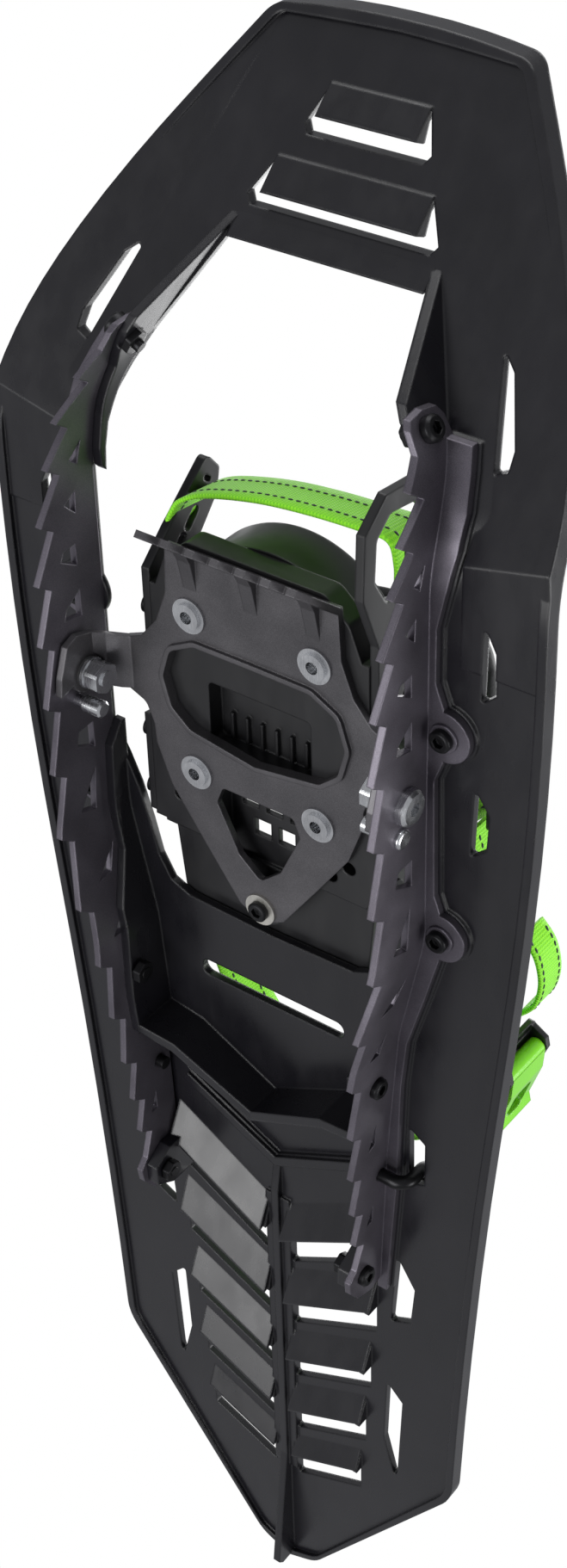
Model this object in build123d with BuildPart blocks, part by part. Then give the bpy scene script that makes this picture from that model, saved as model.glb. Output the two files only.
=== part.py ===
from build123d import *
import os
from math import cos, radians, sin, tan

# Moulded-deck snowshoe. X runs across the shoe, +Y towards the toe, +Z up, in millimetres.
# Every sketch below is drawn in the deck's own coordinates: y from the middle of the rails'
# level stretch (the datum), z from the flat underside of the deck.

# ---- the sole ----
TOE_Y = 204.8
TAIL_Y = -438.0
DATUM_Y = -(TOE_Y + TAIL_Y) / 2
TOOTH_DEPTH = 32.0
DECK_Z = TOOTH_DEPTH
DECK_T = 3.0
BEND_Y = 87.4
BEND_R = 50.0
TOE_SLOPE = 34.1
RIM_W = 3.2
RIM_DROP = 1.8
RIM_RISE = 1.2
WING_DROP = 3.6

# ---- foot opening and its side walls ----
OPEN_X = 66.2
WALL_T = 3.5

# ---- steel rails ----
RAIL_X = 66.0
RAIL_T = 2.5
LAND_T = 1.0
FLANGE_Z = -(LAND_T + RAIL_T)
TOOTH_TIPS = (107.8, 95.0, 80.8, 62.8, 42.9, 20.6, -3.6, -30.4, -57.4, -86.2, -111.4, -136.7,
              -159.3, -178.9, -196.2, -210.7)
SOLID_TEETH = (0, 1, 6, 11)
FLANGE_SCREWS_Y = (25.0, -54.0)
FLANGE_SCREW_X = 72.0
FRONT_SCREW = (57.2, 119.2, 8.5)
FRONT_TURN = 28.0
MID_SCREW = (-120.5, -14.5)
REAR_SCREW = (-217.0, -14.5)

# ---- binding pivot ----
PIVOT_Y = 4.0
PIVOT_Z = -15.0
BUSH_R = 4.0
RUN_CLEARANCE = 0.05
STOP_Y = -7.0
STOP_Z = -17.5
STOP_R = 3.0

# ---- crampon plate ----
PLATE_T = 2.5
PLATE_Z = -4.0
ARM_Z = -8.6
EAR_X = 60.4
CLAW_LENGTH = 23.0
CLAW_LEAN = 38.8
RIVETS = ((24.7, 33.1), (24.9, -28.6))
REAR_RIVET_Y = -75.9

# ---- binding ----
BASE_Z = PLATE_Z + PLATE_T
HEEL_Z = 3.5
BASE_TOP = 7.0
WEB_T = 1.6
WEB_W = 20.0

# ---- heel lift bail ----
BAIL_Y = -170.5
BAIL_Z = -7.0
BAIL_R = 2.5


def plan(z):
    """Horizontal plane at height z: sketch x across the shoe, sketch y towards the toe."""
    return Plane(origin=(0, DATUM_Y, DECK_Z + z))


def side(x):
    """Upright plane at x: sketch x towards the toe, sketch y up."""
    return Plane(origin=(x, DATUM_Y, DECK_Z), x_dir=(0, 1, 0), z_dir=(1, 0, 0))


def cross(y):
    """Upright plane at y, facing the tail: sketch x across, sketch y up."""
    return Plane(origin=(0, DATUM_Y + y, DECK_Z), x_dir=(1, 0, 0), z_dir=(0, -1, 0))


def spot(x, y, z):
    """A point of the deck's coordinates in the model's frame."""
    return Vector(x, DATUM_Y + y, DECK_Z + z)


def sole_z(y, offset=0.0):
    """Height of the sole line at y, ignoring the bend's rounding."""
    return offset + max(0.0, y - BEND_Y) * tan(radians(TOE_SLOPE))


def sole_corners(offset):
    """The sole line moved square to itself: tail end, bend corner and toe end."""
    a = radians(TOE_SLOPE)
    bend = (BEND_Y - offset * tan(a / 2), offset)
    run = 160.0
    return (-460.0, offset), bend, (bend[0] + run * cos(a), offset + run * sin(a))


def sole_strip(low, high):
    """A full-width slab that follows the sole between two offsets."""
    with BuildPart() as strip:
        with BuildSketch(side(-125)):
            with BuildLine():
                under = FilletPolyline(*sole_corners(low), radius=BEND_R - low)
                over = FilletPolyline(*sole_corners(high), radius=BEND_R - high)
                Line(under @ 0, over @ 0)
                Line(under @ 1, over @ 1)
            make_face()
        extrude(amount=250)
    return strip.part


FLANK = ((45.5, 202.0, 0.80, 0.60), (70.0, 168.5, 0.83, 0.56), (89.5, 136.5, 0.89, 0.45),
         (101.5, 106.0, 0.97, 0.24), (104.8, 70.0, 1.0, 0.0), (101.8, -40.0, 1.0, -0.06),
         (91.5, -157.0, 1.0, -0.08), (84.3, -262.0, 1.0, -0.06), (81.0, -337.0, 1.0, -0.2))


def outline_prism(inset=0.0):
    """Upright prism over the deck's outline, inset by a margin."""
    flank_points = [(x - nx * inset, y - ny * inset) for x, y, nx, ny in FLANK]
    with BuildPart() as prism:
        with BuildSketch(plan(-60)):
            with BuildLine():
                toe = ThreePointArc((0, TOE_Y - inset), (24, TOE_Y - 0.7 - inset), flank_points[0])
                flank = Spline(*flank_points)
                edge = Line(flank @ 1, (14, TAIL_Y + 6 + inset * 0.9))
                Line(edge @ 1, (0, TAIL_Y + inset))
                mirror(about=Plane.YZ)
            make_face()
        extrude(amount=240)
        uprights = prism.edges().filter_by(Axis.Z)
        for low, high, radius in ((190, 210, 9.0), (-345, -325, 22.0), (-436, -420, 16.0)):
            corners = uprights.filter_by(lambda e: low < e.center().Y - DATUM_Y < high)
            fillet(corners.filter_by(lambda e: abs(e.center().X) > 3), radius - inset)
    return prism.part


# ---------------------------------------------------------------- deck
FOOT_OPENING = ((0, 145.3), (25.5, 144.8), (37.0, 143.5), (46.8, 126.0), (53.4, 114.5),
                (58.0, 104.0), (62.0, 91.0), (OPEN_X, 78.0), (OPEN_X, -28.0), (60.3, -39.0),
                (55.5, -50.0), (51.5, -63.0), (48.0, -77.0), (43.0, -86.0), (35.0, -89.5),
                (0, -90.5))
SLOTS = (
    ((65.5, 136.5), (71.5, 132.0), (79.8, 115.0), (80.0, 109.5), (75.5, 107.5)),
    ((82.9, 68.2), (82.3, 39.3), (87.6, 44.2), (87.4, 59.2)),
    ((81.1, 7.6), (80.0, -19.6), (85.9, -14.5), (86.7, -0.8)),
    ((58.6, -149.0), (58.9, -176.5), (65.2, -174.0), (65.2, -154.0)),
    ((53.9, -217.5), (51.1, -254.7), (60.0, -250.1), (61.7, -230.9)),
    ((49.5, -290.8), (48.1, -325.2), (53.3, -346.5), (54.7, -341.6), (56.7, -298.5)),
)
LOUVRE_END = (46.2, 44.8, 42.0, 39.5, 37.0)
LOUVRE_FOLD = (-223.6, -258.7, -294.0, -326.0, -358.5)
LOUVRE_SLOPE = (0.62, 0.54, 0.50, 0.49, 0.46)
LOUVRE_NEXT = (-254.9, -289.2, -320.5, -353.0, -382.0)
LOUVRE_RUN = (13.5, 14.0, 11.8, 11.4, 9.0)
LOUVRE_DROP = (7.0, 5.8, 5.4, 5.0, 3.6)
RIB_HALF = 5.5
SLAT_T = 2.4
TOE_LOUVRES = (
    (18.0, 184.8, 22.8, 172.0, 178.6, 4.2),
    (28.2, 164.8, 34.6, 152.0, 157.6, 4.4),
)
RAIL_LINE = ((-26.6, 152.0), (0.0, 102.0), (0.0, -58.0), (-9.75, -104.0), (-14.2, -160.0), (-17.6, -240.0))


def rail_band(inner, outer, low, high):
    """Upright band along the rail's plan line, +X side, offsets taken from its inner face."""
    x = RAIL_X - RAIL_T
    with BuildPart() as band:
        with BuildSketch(plan(low)):
            with BuildLine():
                near = FilletPolyline(*[(x + inner + dx, y) for dx, y in RAIL_LINE], radius=60)
                far = FilletPolyline(*[(x + outer + dx, y) for dx, y in RAIL_LINE], radius=60)
                Line(near @ 0, far @ 0)
                Line(near @ 1, far @ 1)
            make_face()
        extrude(amount=high - low)
    return band.part


def side_prism(points, x_from=0.0, x_to=110.0):
    """Side profile (y, z) extruded across the shoe."""
    with BuildPart() as prism:
        with BuildSketch(side(x_from)):
            Polygon(*points, align=None)
        extrude(amount=x_to - x_from)
    return prism.part


def plan_prism(points, low, high, radius=0.0):
    """Plan outline (x, y) extruded between two heights, its corners rounded on request."""
    with BuildPart() as prism:
        with BuildSketch(plan(low)) as outline:
            Polygon(*points, align=None)
            if radius:
                fillet(outline.vertices(), radius)
        extrude(amount=high - low)
    return prism.part


def wing():
    """Wedge under the toe's +X flank, folded down from the toe panel, clear of the rail flange."""
    top, low, edge = spot(43.3, 194.5, 72.6), spot(75, 108, 14), spot(88, 137.6, 30.6)
    fold = Plane(origin=low, x_dir=top - low, z_dir=(edge - low).cross(top - low))
    with BuildPart() as wedge:
        add(sole_strip(-9, 0.6))
        add(outline_prism(), mode=Mode.INTERSECT)
        with BuildSketch(fold):
            Rectangle(500, 500)
        extrude(amount=120, mode=Mode.INTERSECT)
        with Locations(spot(60, 150, 50)):
            Box(120, 200, 101.2, mode=Mode.INTERSECT)
        with Locations(spot(58, 82, 20)):
            Box(34.4, 68, 80, mode=Mode.SUBTRACT)
    return wedge.part


def side_wall():
    """The +X walls that hang inside the rail: the toe fin and, behind the ears, the tub's side."""
    fin = ((151, 44.3), (126, 6.0), (121, 4.0), (116, 4.4), (107, 5.6), (102, 4.0), (96, 2.0),
           (90, 0.8), (80, -1.0), (74, -0.6), (72, 1.2), (80, 1.8), (88, 3.8), (100, 9.8),
           (112, 17.9))
    tub = ((-24, -1.0), (-32, -6.5), (-74, -8.0), (-94, -16.0), (-130, -19.0), (-147, -18.5),
           (-147, 1.0), (-24, 1.0))
    with BuildPart() as wall:
        add(side_prism(fin, 25))
        add(side_prism(tub, 25))
        add(rail_band(-WALL_T, 0, -30, 60), mode=Mode.INTERSECT)
    return wall.part


def heel_tub():
    """V-shaped rear wall of the heel tub and the recessed panel behind it."""
    band = ((0, -163.0), (32, -146.2), (50.2, -143.4), (50.0, -146.9), (33.5, -149.8), (0, -167.3),
            (-33.5, -149.8), (-50.0, -146.9), (-50.2, -143.4), (-32, -146.2))
    rim = ((0, -15.0), (51, -18.6), (51, 1.0), (-51, 1.0), (-51, -18.6))
    with BuildPart() as tub:
        add(plan_prism(band, -25, 1))
        with BuildSketch(cross(-100)):
            Polygon(*rim, align=None)
        extrude(amount=100, mode=Mode.INTERSECT)
    return tub.part


def louvre(i):
    """One +X slat of a tail chevron with its end walls, hanging towards the tail."""
    fold, slope, run, drop = LOUVRE_FOLD[i], LOUVRE_SLOPE[i], LOUVRE_RUN[i], LOUVRE_DROP[i]
    end = LOUVRE_END[i]
    start = fold + slope * (RIB_HALF - 1.0)
    reach = end - RIB_HALF + 1.0
    with BuildPart() as slat:
        with BuildSketch(side(RIB_HALF - 1.0)):
            Polygon((start + 0.6, 0), (start + 0.6, DECK_T), (start - 3.0, DECK_T - 0.3),
                    (start - run, SLAT_T - drop), (start - run - 0.8, -drop), (start - run, -drop),
                    align=None)
        extrude(amount=(reach ** 2 + (slope * reach) ** 2) ** 0.5, dir=(1, slope, 0))
        for x, depth in ((RIB_HALF - 1.5, drop * 0.55), (end - 1.6, drop)):
            y = fold + slope * x
            with BuildSketch(side(x)):
                Polygon((y, 0.5), (y - run - 1.0, 0.5), (y - run - 1.0, -depth), (y - run, -depth),
                        align=None)
            extrude(amount=2.0)
    return slat.part


def louvre_gap(i):
    """Plan outline of the +X opening behind a tail chevron, fold to the next flat."""
    fold, slope, back = LOUVRE_FOLD[i], LOUVRE_SLOPE[i], LOUVRE_NEXT[i]
    end = LOUVRE_END[i]
    return ((RIB_HALF, fold + slope * RIB_HALF), (end, fold + slope * end),
            (end, back + slope * end), (RIB_HALF, back + slope * RIB_HALF))


def toe_louvre(half, fold_y, lip_y, drop):
    """Slat across the toe panel, folded down along fold_y to its lip at lip_y, ends closed."""
    z0, z1 = sole_z(fold_y), sole_z(lip_y) - drop
    slat = ((fold_y + 1, z0), (fold_y + 1, z0 + DECK_T), (fold_y - 2, z0 + DECK_T - 2.2),
            (lip_y, z1 + SLAT_T), (lip_y - 0.6, z1))
    cheek = ((fold_y + 1, z0 + 1), (fold_y, z0), (lip_y - 0.6, z1), (lip_y - 2.4, sole_z(lip_y)),
             (lip_y - 2.4, sole_z(lip_y) + 1))
    with BuildPart() as hood:
        add(side_prism(slat, -half, half))
        for x in (-half, half - 1.8):
            add(side_prism(cheek, x, x + 1.8))
    return hood.part


with BuildPart() as rim_space:
    # everything inside the rim except the sole itself
    add(outline_prism(RIM_W))
    add(sole_strip(0, DECK_T), mode=Mode.SUBTRACT)

with BuildPart() as shell:
    add(sole_strip(-RIM_DROP, DECK_T + RIM_RISE))
    add(outline_prism(), mode=Mode.INTERSECT)
    add(rim_space.part, mode=Mode.SUBTRACT)
    add(wing())
    add(mirror(wing(), about=Plane.YZ, mode=Mode.PRIVATE))

with BuildPart() as moulding:
    add(shell.part)
    # recessed panel between the tub and the V step
    add(plan_prism(((0, -166), (47, -148), (44, -176), (0, -199), (-44, -176), (-47, -148)), 2.5, 4.6))
    add(plan_prism(((0, -167.2), (44, -150), (41, -175), (0, -196.6), (-41, -175), (-44, -150)),
                   -1, 1.6), mode=Mode.SUBTRACT)
    # cut-outs through the sole
    half = list(FOOT_OPENING)
    ring = half + [(-x, y) for x, y in reversed(half[1:-1])]
    add(plan_prism(ring, -20, 80), mode=Mode.SUBTRACT)
    for outline in SLOTS:
        cut = plan_prism(outline, -20, 80, 0.9)
        add(cut, mode=Mode.SUBTRACT)
        add(mirror(cut, about=Plane.YZ, mode=Mode.PRIVATE), mode=Mode.SUBTRACT)
    for i in range(len(LOUVRE_FOLD)):
        cut = plan_prism(louvre_gap(i), -5, 10, 0.9)
        add(cut, mode=Mode.SUBTRACT)
        add(mirror(cut, about=Plane.YZ, mode=Mode.PRIVATE), mode=Mode.SUBTRACT)
    for half_fold, fold_y, half_back, back_y, lip_y, drop in TOE_LOUVRES:
        add(plan_prism(((half_fold, fold_y), (half_back, back_y + 2.5), (half_back - 2, back_y),
                        (2 - half_back, back_y), (-half_back, back_y + 2.5), (-half_fold, fold_y)),
                       20, 90), mode=Mode.SUBTRACT)
    # scooped slot in the tub floor
    add(plan_prism(((31, -116.0), (31, -123.0), (-31, -123.0), (-31, -116.0)), -5, 10, 3.3),
        mode=Mode.SUBTRACT)
    # hanging parts
    for i in range(len(LOUVRE_FOLD)):
        add(louvre(i))
        add(mirror(louvre(i), about=Plane.YZ, mode=Mode.PRIVATE))
    for half_fold, fold_y, half_back, back_y, lip_y, drop in TOE_LOUVRES:
        add(toe_louvre(half_fold, fold_y, lip_y, drop))
    add(side_prism(((150, sole_z(150)), (150, sole_z(150) + 2), (144, sole_z(144) + 1), (144, sole_z(144) - 2.6)),
                   -36, 36))
    add(side_wall())
    add(mirror(side_wall(), about=Plane.YZ, mode=Mode.PRIVATE))
    add(heel_tub())
    # V step ridge, central rib and tail keel
    add(plan_prism(((0, -197), (40, -176.5), (42, -180), (0, -201.5), (-42, -180), (-40, -176.5)),
                   -1.8, 1.8))
    add(side_prism(((-200, 1), (-200, -0.5), (-214, -2.8), (-368, -2.8), (-433, -10.5),
                    (-435.5, -8), (-435.5, 1)), -1.6, 1.6))
    add(side_prism(((-218, 1), (-218, -1.2), (-376, -1.2), (-376, 1)), -RIB_HALF, RIB_HALF))


# ---------------------------------------------------------------- rails
WEB_HOLES = (
    ((85.1, -6.1), (77.4, -8.6), (80.1, -12.1)),
    ((68.8, -10.6), (61.0, -11.0), (65.7, -15.8)),
    ((50.4, -12.6), (42.4, -12.4), (46.8, -19.6), (49.7, -18.3)),
    ((33.3, -12.3), (23.1, -12.2), (24.8, -20.3), (28.4, -19.0)),
    ((-19.5, -11.5), (-29.9, -11.4), (-25.6, -19.9), (-20.0, -18.6)),
    ((-38.1, -12.2), (-55.1, -13.4), (-52.5, -20.7)),
    ((-70.8, -9.5), (-80.5, -13.7), (-81.3, -20.6)),
    ((-95.0, -12.9), (-104.3, -14.9), (-104.0, -20.3)),
    ((-140.6, -12.6), (-150.6, -12.1), (-151.8, -15.7)),
    ((-183.0, -11.0), (-191.0, -11.0), (-191.5, -14.2)),
)
FLANGE_EDGE = ((68.0, 114.5), (70.5, 108), (73.3, 98.7), (73.5, 88), (71.6, 76), (68.5, 62), (68.5, 43),
               (71.5, 35), (71.5, 15), (68.5, 7), (69.3, -38), (71.5, -44), (71.5, -64),
               (65.8, -85), (59.4, -107), (57.2, -128), (56.5, -149), (55.6, -178), (51.6, -234))
FLANGE_ROOT = ((47.6, -234), (50.0, -178), (54.2, -107), (64.2, -62), (64.6, 84), (63.4, 98),
               (58.4, 114.5))
LOBE_R = 9.0
MID_X = 53.6
REAR_X = 48.2
STEP_BACK = 3.6
STEP_UP = 5.5


def tooth_depth(y):
    """How far the tooth at y reaches below the deck; shallower towards both ends."""
    if y > 22.0:
        return TOOTH_DEPTH - 0.0028 * (y - 22.0) ** 2 - 0.22 * max(0.0, y - 95.0)
    return TOOTH_DEPTH - 0.1 * max(0.0, -86.0 - y)


def web_profile():
    """Side profile of the rail's web: front lobe, rearward-facing teeth, rear lobe."""
    teeth = []
    for tip in TOOTH_TIPS:
        teeth.append((tip, -tooth_depth(tip)))
        teeth.append((tip - STEP_BACK, STEP_UP - tooth_depth(tip)))
    front = [(113.0, 17.4), (120.3, 17.2), (123.2, 15.2), (124.2, 9.0), (123.5, 2.6),
             (121.0, 0.8), (114.8, -0.2)]
    rear = [(-214.5, -23.4), (-220.5, -22.6), (-226.9, -17.9), (-229.8, -10.3), (-228.0, -1.0)]
    return front + teeth[:-1] + rear + [(-228.0, 1.0), (84.0, 2.0)]


FRONT_X, FRONT_Y, FRONT_Z = FRONT_SCREW
FRONT_GRIP = (RAIL_T + WALL_T) * cos(radians(FRONT_TURN))


def across(x_from, x_to, y, z, radius):
    """Cylinder lying across the shoe between two x positions."""
    with BuildPart() as rod:
        with BuildSketch(side(x_from)):
            with Locations((y, z)):
                Circle(radius)
        extrude(amount=x_to - x_from)
    return rod.part


def front_turned(piece):
    """A piece lying across the shoe, turned square to the rail's bent front end."""
    return piece.rotate(Axis(spot(FRONT_X, FRONT_Y, 0), (0, 0, 1)), FRONT_TURN)


with BuildPart() as flange:
    add(plan_prism(FLANGE_EDGE + FLANGE_ROOT, -12, 30))
    with Locations(*[spot(FLANGE_SCREW_X, y, 0) for y in FLANGE_SCREWS_Y]):
        Cylinder(LOBE_R, 24)
    add(sole_strip(FLANGE_Z, -LAND_T), mode=Mode.INTERSECT)
    add(rail_band(0.3, 40, -40, 40), mode=Mode.INTERSECT)

with BuildPart() as rail:
    add(side_prism(web_profile(), 30))
    add(rail_band(0, RAIL_T, -40, 40), mode=Mode.INTERSECT)
    add(sole_strip(-60, -LAND_T), mode=Mode.INTERSECT)
    add(flange.part)
    with BuildSketch(side(30)):
        for hole in WEB_HOLES:
            Polygon(*hole, align=None)
        for y, z in (MID_SCREW, REAR_SCREW):
            with Locations((y, z)):
                Circle(2.0)
        with Locations((PIVOT_Y, PIVOT_Z)):
            Circle(3.0)
        with Locations((STOP_Y, STOP_Z)):
            Circle(2.0)
        with Locations((BAIL_Y, BAIL_Z)):
            Circle(BAIL_R + RUN_CLEARANCE)
    extrude(amount=40, mode=Mode.SUBTRACT)
    add(front_turned(across(FRONT_X - 20, FRONT_X + 20, FRONT_Y, FRONT_Z, 2.0)), mode=Mode.SUBTRACT)
    with Locations(*[spot(FLANGE_SCREW_X, y, 0) for y in FLANGE_SCREWS_Y]):
        Cylinder(2.0, 24, mode=Mode.SUBTRACT)
    # flats that seat the screw heads where the web runs at a slant
    for x, (y, z) in ((MID_X, MID_SCREW), (REAR_X, REAR_SCREW)):
        with BuildSketch(side(x + RAIL_T / 2)):
            with Locations((y, z)):
                Circle(4.1)
        extrude(amount=5, mode=Mode.SUBTRACT)
rail_left = rail.part


# ---------------------------------------------------------------- fasteners
def hex_across(x_from, x_to, y, z, flats, bore):
    """Hexagon nut on an axis across the shoe, its outer corners chamfered."""
    with BuildPart() as nut:
        with BuildSketch(side(x_from)):
            with Locations((y, z)):
                RegularPolygon(flats / 2, 6, major_radius=False)
                Circle(bore, mode=Mode.SUBTRACT)
        extrude(amount=x_to - x_from)
        with BuildSketch(side(x_from)):
            with Locations((y, z)):
                Circle(flats / 2 + 0.45)
        extrude(amount=x_to - x_from, mode=Mode.INTERSECT)
    return nut.part


def socket_screw_across(x_seat, head, x_tip, y, z, shank, head_r, socket):
    """Socket screw across the shoe: head outside x_seat, shank in to x_tip."""
    with BuildPart() as screw:
        add(across(x_tip, x_seat + 0.5, y, z, shank))
        add(across(x_seat, x_seat + head, y, z, head_r))
        chamfer(screw.faces().sort_by(Axis.X)[-1].edges(), head * 0.3)
        with BuildSketch(side(x_seat + head)):
            with Locations((y, z)):
                RegularPolygon(socket, 6)
        extrude(amount=-head * 0.7, mode=Mode.SUBTRACT)
    return screw.part


def stand_screw(x, y, seat, tip, shank, head_r, head, socket):
    """Upright socket screw: head hanging below seat, shank up to tip."""
    with BuildPart() as screw:
        with Locations(spot(x, y, (seat + tip) / 2)):
            Cylinder(shank, tip - seat)
        with Locations(spot(x, y, seat - head / 2)):
            Cylinder(head_r, head)
        chamfer(screw.faces().sort_by(Axis.Z)[0].edges(), head * 0.25)
        with BuildSketch(plan(seat - head)):
            with Locations((x, y)):
                RegularPolygon(socket, 6)
        extrude(amount=head * 0.7, mode=Mode.SUBTRACT)
    return screw.part


def ring(x, y, low, high, outer, inner):
    """Upright washer or sleeve."""
    with BuildPart() as washer:
        with BuildSketch(plan(low)):
            with Locations((x, y)):
                Circle(outer)
                Circle(inner, mode=Mode.SUBTRACT)
        extrude(amount=high - low)
    return washer.part


def stand_nut(x, y, low, high, flats, bore):
    """Upright hexagon nut."""
    with BuildPart() as nut:
        with BuildSketch(plan(low)):
            with Locations((x, y)):
                RegularPolygon(flats / 2, 6, major_radius=False)
                Circle(bore, mode=Mode.SUBTRACT)
        extrude(amount=high - low)
        with BuildSketch(plan(low)):
            with Locations((x, y)):
                Circle(flats / 2 + 0.45)
        extrude(amount=high - low, mode=Mode.INTERSECT)
    return nut.part


rail_screws = [
    front_turned(socket_screw_across(FRONT_X, 3.0, FRONT_X - FRONT_GRIP - 4.6, FRONT_Y, FRONT_Z,
                                     2.0, 4.2, 2.1)),
    socket_screw_across(MID_X + RAIL_T / 2, 2.6, MID_X - 8.6, *MID_SCREW, 2.0, 3.9, 2.0),
    socket_screw_across(REAR_X + RAIL_T / 2, 2.6, REAR_X - 10.0, *REAR_SCREW, 2.0, 3.9, 2.0),
]
rail_nuts = [
    front_turned(hex_across(FRONT_X - FRONT_GRIP - 2.6, FRONT_X - FRONT_GRIP + 1.2, FRONT_Y,
                            FRONT_Z, 8.0, 2.0)),
    hex_across(MID_X - 8.3, MID_X - 5.4, *MID_SCREW, 7.5, 2.0),
    hex_across(REAR_X - 9.7, REAR_X - 6.8, *REAR_SCREW, 7.5, 2.0),
]
flange_screws = []
flange_nuts = []
flange_washers = []
for y in FLANGE_SCREWS_Y:
    flange_screws.append(stand_screw(FLANGE_SCREW_X, y, FLANGE_Z - 1.0, 6.6, 2.0, 3.8, 2.6, 2.0))
    flange_washers.append(ring(FLANGE_SCREW_X, y, FLANGE_Z - 1.0, FLANGE_Z, 5.0, 2.0))
    flange_nuts.append(stand_nut(FLANGE_SCREW_X, y, DECK_T, DECK_T + 3.3, 7.5, 2.0))
pivot_bolt = socket_screw_across(RAIL_X, 3.6, 51.6, PIVOT_Y, PIVOT_Z, 3.0, 6.2, 2.4)
pivot_nut = hex_across(52.4, 58.2, PIVOT_Y, PIVOT_Z, 10.0, 3.0)

with BuildPart() as pivot_washer:
    add(across(58.2, 59.4, PIVOT_Y, PIVOT_Z, 5.6))
    add(across(58.0, 60.0, PIVOT_Y, PIVOT_Z, 3.0), mode=Mode.SUBTRACT)

with BuildPart() as stop_pin:
    add(across(58.6, RAIL_X + 0.5, STOP_Y, STOP_Z, 2.0))
    add(across(52.2, 59.6, STOP_Y, STOP_Z, STOP_R))
    chamfer(stop_pin.faces().sort_by(Axis.X)[0].edges(), 0.7)
    add(across(RAIL_X, RAIL_X + 1.8, STOP_Y, STOP_Z, 3.6))
    fillet(stop_pin.faces().sort_by(Axis.X)[-1].edges(), 1.2)


# ---------------------------------------------------------------- crampon plate
PLATE_EDGE = ((0, 56.5), (33.5, 56.5), (34.5, 38.0), (39.0, 26.0), (46.0, 17.5), (53.0, 14.5),
              (53.0, -5.2), (45.5, -8.5), (42.5, -16.0), (42.0, -23.5), (36.5, -38.5),
              (23.0, -58.0), (9.2, -77.5), (0, -82.5))
OVAL = ((0, 22.5), (23.0, 22.3), (33.0, 17.0), (36.5, 6.0), (33.5, -5.0), (26.0, -11.5),
        (0, -15.5))
TRIANGLE = ((0, -31.0), (14.5, -31.0), (17.2, -38.0), (8.6, -56.5), (0, -64.0))
EAR_EDGE = ((14.0, 4.0), (15.5, -6.0), (19.6, -18.5), (17.6, -23.8), (7.0, -27.6), (0.4, -28.4),
            (2.05, -22.2), (-1.0, -15.0), (-3.2, -12.0), (-5.0, -6.0), (-5.2, 4.0))
EAR_BOSS_R = 7.4
CLAW_HALF = 33.5
CLAWS = 7
RIVET_R = 3.4


def mirrored(points):
    """Closed outline from its +X half, which starts and ends on the centre line."""
    return list(points) + [(-x, y) for x, y in reversed(points[1:-1])]


def claw_blade():
    """Toe blade folded down and forward from the plate's front edge, with saw claws."""
    lean = radians(CLAW_LEAN)
    origin = spot(0, 55.2, PLATE_Z + PLATE_T / 2)
    blade = Plane(origin=origin, x_dir=(1, 0, 0), z_dir=(0, cos(lean), sin(lean)))
    pitch = 2 * CLAW_HALF / CLAWS
    edge = [(-CLAW_HALF, 0)]
    for i in range(CLAWS):
        left = -CLAW_HALF + i * pitch
        edge += [(left, CLAW_LENGTH - 4.2), (left + pitch * 0.32, CLAW_LENGTH),
                 (left + pitch * 0.68, CLAW_LENGTH), (left + pitch, CLAW_LENGTH - 4.2)]
    edge.append((CLAW_HALF, 0))
    with BuildPart() as sheet:
        with BuildSketch(blade):
            Polygon(*edge, align=None)
        extrude(amount=PLATE_T / 2, both=True)
    return sheet.part


def ear_arm(s):
    """Arm bent down from the plate into the pivot ear, on the side given by the sign s."""
    with BuildPart() as arm:
        with BuildSketch(cross(30)):
            with BuildLine():
                FilletPolyline((44 * s, PLATE_Z + 1.25), (51 * s, PLATE_Z + 1.25),
                               (58.5 * s, ARM_Z + 1.25), ((EAR_X + 1.25) * s, ARM_Z - 2.5),
                               ((EAR_X + 1.25) * s, -31), radius=1.9)
            trace(line_width=PLATE_T)
        extrude(amount=60)
        with BuildSketch(side(-70)):
            Polygon(*EAR_EDGE, align=None)
            with Locations((PIVOT_Y, PIVOT_Z)):
                Circle(EAR_BOSS_R)
        extrude(amount=140, mode=Mode.INTERSECT)
    return arm.part


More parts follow.
